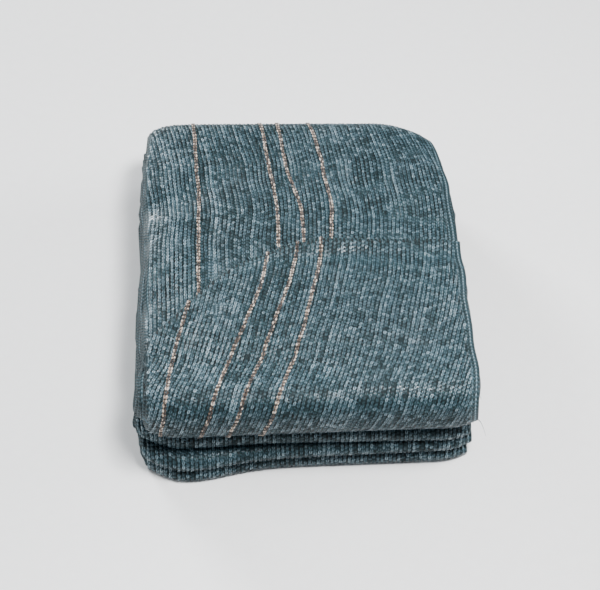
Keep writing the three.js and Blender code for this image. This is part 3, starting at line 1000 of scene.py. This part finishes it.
def marker_yarn(name, plan, to_travel, rows, way, first, last, material):
    """A yarn knitted in as a chain of its own: two twisted legs to a stitch, flat along the net. way
    is 1 where the rows of its places go forwards along the net, and -1 where they go backwards."""
    table = fold_table(plan)
    begin = np.arange(first, last, YARN_STITCH)[:, None]
    count = len(begin)
    # A leg goes out from the middle, along the rib and back in under the next stitch.
    q = np.linspace(0, 1, YARN_STEPS)
    along = YARN_LEG_START + q * YARN_LEG
    outwards = np.sin(np.clip(q * 1.12, 0, 1) * math.pi) ** 0.8
    bow = np.sin(q * math.pi)
    thickness = np.sin(np.clip(q, 0.1, 0.9) * math.pi) ** 0.5
    angle = 2 * math.pi * np.arange(YARN_SIDES) / YARN_SIDES
    rings = []
    tones = []
    turns = []
    in_spread, in_height, in_size, in_place = RNG.normal(0, 1, (4, count, 1))
    for leg in (-1, 1):
        t = begin + along + 0.25 * in_place
        drift = 0.35 * np.sin(t / 13 + YARN_PHASE[way]) + 0.25 * np.sin(t / 5.3)
        x = yarn_x(rows, way * t) + drift + leg * (YARN_SPREAD * outwards * (1 + 0.12 * in_spread))
        height = YARN_HEIGHT + YARN_BOW * bow + 0.08 * in_height + 0.1 * leg * in_size
        s = to_travel(t, x / WIDTH + 0.5)
        u = share_at(plan, table, s, x)
        middle = face_point(plan, table, s, u, PLY_REACH + height)
        middle[..., 2] = np.maximum(middle[..., 2], OFF_FLOOR + YARN_RADIUS)
        normal = unit(face_point(plan, table, s, u, PLY_REACH + height + 1) - middle)
        aside = np.cross(unit(np.gradient(middle, axis=1)), normal)
        ring = np.cos(angle)[:, None] * aside[:, :, None]
        ring = ring + YARN_FLATNESS * np.sin(angle)[:, None] * normal[:, :, None]
        radius = YARN_RADIUS * thickness * (1 + 0.1 * in_size)
        rings.append(middle[:, :, None] + radius[:, :, None, None] * ring)
        tone = RNG.normal(YARN_TONE["middle"], YARN_TONE["spread"], (count, 1))
        # Painted highlight at the leg's raised middle and painted shade at its ends, on top of its random
        # tone
        tone = tone + YARN_TONE["bow"] * (bow**2 - 0.5)
        tones.append(np.repeat(np.clip(tone, 0, 1), YARN_SIDES))
        turns.append(along[:, None] / YARN_TURN + angle / (2 * math.pi) + RNG.uniform(0, 1, (count, 1, 1)))
    tube = grid_faces(YARN_STEPS, YARN_SIDES, closed=True)[:, ::-1]
    faces = repeat_faces(tube, 2 * count, YARN_STEPS * YARN_SIDES)
    return make_piece(name, np.concatenate(rings).reshape(-1, 3), faces, material,
                      tone=np.concatenate(tones), turn=np.concatenate(turns))


def yarn_at_outer_end(rows, way):
    """The distance along a yarn at which it meets the band's outer end."""
    t = 0.0
    for _ in range(6):
        t = -way * float(outer_end_at(yarn_x(rows, t) - FRAME_SHIFT[0] - sway_at(-way * t)))
    return t


def marker_yarns(material):
    pieces = []
    for key, ways in YARNS.items():
        front = ways["front"]
        piece = marker_yarn(f"marker_yarn_{key}_outer", OUTER_FOLD, front_travel, front, 1,
                            yarn_at_outer_end(front, 1) - YARN_ENDS["past"],
                            FRONT_END - YARN_ENDS["front"], material)
        pieces.append(dress(piece, "marker_yarn", f"marker_yarn_{key}_front"))
        back = ways["back"]
        piece = marker_yarn(f"marker_yarn_{key}_behind", BACK_FOLD, back_travel, back, -1,
                            BACK_END + YARN_ENDS["back"],
                            YARN_ENDS["beneath"] - yarn_at_outer_end(back, -1), material)
        pieces.append(dress(piece, "marker_yarn", f"marker_yarn_{key}_back"))
    return pieces


# Floor, light and camera, in metres

FLOOR_SIZE = 24
SKY = (0.93, 0.96, 1.0)
SKY_STRENGTH = 0.28
WHITE = (1.0, 1.0, 1.0)
COOL_WHITE = (0.95, 0.98, 1.0)
CAMERA = dict(azimuth=-6.8, elevation=50, roll=3.88, target=(0.0008, -0.0195, 0.056), distance=1.61)
PHOTO_WIDTH = 600  # in pixels
FOCAL_LENGTH = 1580  # in pixels
SENSOR = 36


def area_light(name, place, aim, size, power, colour=WHITE):
    data = bpy.data.lights.new(name, "AREA")
    data.shape = "RECTANGLE"
    data.size, data.size_y = size
    data.energy = power
    data.color = colour
    light = bpy.data.objects.new(name, data)
    bpy.context.scene.collection.objects.link(light)
    light.location = place
    light.rotation_euler = (Vector(aim) - Vector(place)).to_track_quat("-Z", "Y").to_euler()


def studio():
    bpy.ops.mesh.primitive_plane_add(size=FLOOR_SIZE, location=(0, 0, 0))
    floor = bpy.context.object
    floor.name = "floor"
    floor.data.materials.append(floor_material())
    world = bpy.data.worlds.new("studio")
    bpy.context.scene.world = world
    world.use_nodes = True
    background = world.node_tree.nodes["Background"]
    background.inputs["Color"].default_value = (*SKY, 1)
    background.inputs["Strength"].default_value = SKY_STRENGTH
    area_light("overhead", (0.26, -0.36, 1.35), (0.05, -0.15, 0.1), size=(0.45, 0.26), power=24)
    area_light("back_left", (-1.8, 2.6, 1.2), (0, 0, 0.1), size=(1.0, 0.8), power=104, colour=COOL_WHITE)
    area_light("right", (3.6, 0.7, 0.8), (0, 0, 0.05), size=(2.4, 1.3), power=130)
    area_light("left", (-3.6, 0.5, 0.8), (0, 0, 0.05), size=(2.4, 1.3), power=70)
    bpy.context.scene.view_settings.look = "AgX - Medium High Contrast"
    return floor


def camera():
    """The photograph's view: turned a little to the left, from half above, rolled a little."""
    azimuth = math.radians(CAMERA["azimuth"])
    elevation = math.radians(CAMERA["elevation"])
    roll = math.radians(CAMERA["roll"])
    back = Vector((math.sin(azimuth) * math.cos(elevation), -math.cos(azimuth) * math.cos(elevation),
                   math.sin(elevation)))
    right = Vector((math.cos(azimuth), math.sin(azimuth), 0))
    turned_right = right * math.cos(roll) + back.cross(right) * math.sin(roll)
    turned_up = back.cross(turned_right)
    data = bpy.data.cameras.new("camera")
    data.sensor_fit = "HORIZONTAL"
    data.sensor_width = SENSOR
    data.lens = FOCAL_LENGTH * SENSOR / PHOTO_WIDTH
    view = bpy.data.objects.new("camera", data)
    bpy.context.scene.collection.objects.link(view)
    axes = Matrix((turned_right, turned_up, back)).transposed().to_4x4()
    view.matrix_world = Matrix.Translation(Vector(CAMERA["target"]) + back * CAMERA["distance"]) @ axes
    bpy.context.scene.camera = view


camera()
floor = studio()
tape = tape_material()
plies = dress(net_plies(ply_material()), "net", "netting")
knitted = [dress(piece, "net", "netting") for piece in knit_pieces(tape)]
yarns = marker_yarns(yarn_material())
knitted.append(dress(loose_tapes(tape), "net", "netting"))
knitted.append(dress(stray_tapes(tape), "net", "netting"))
knitted + yarns
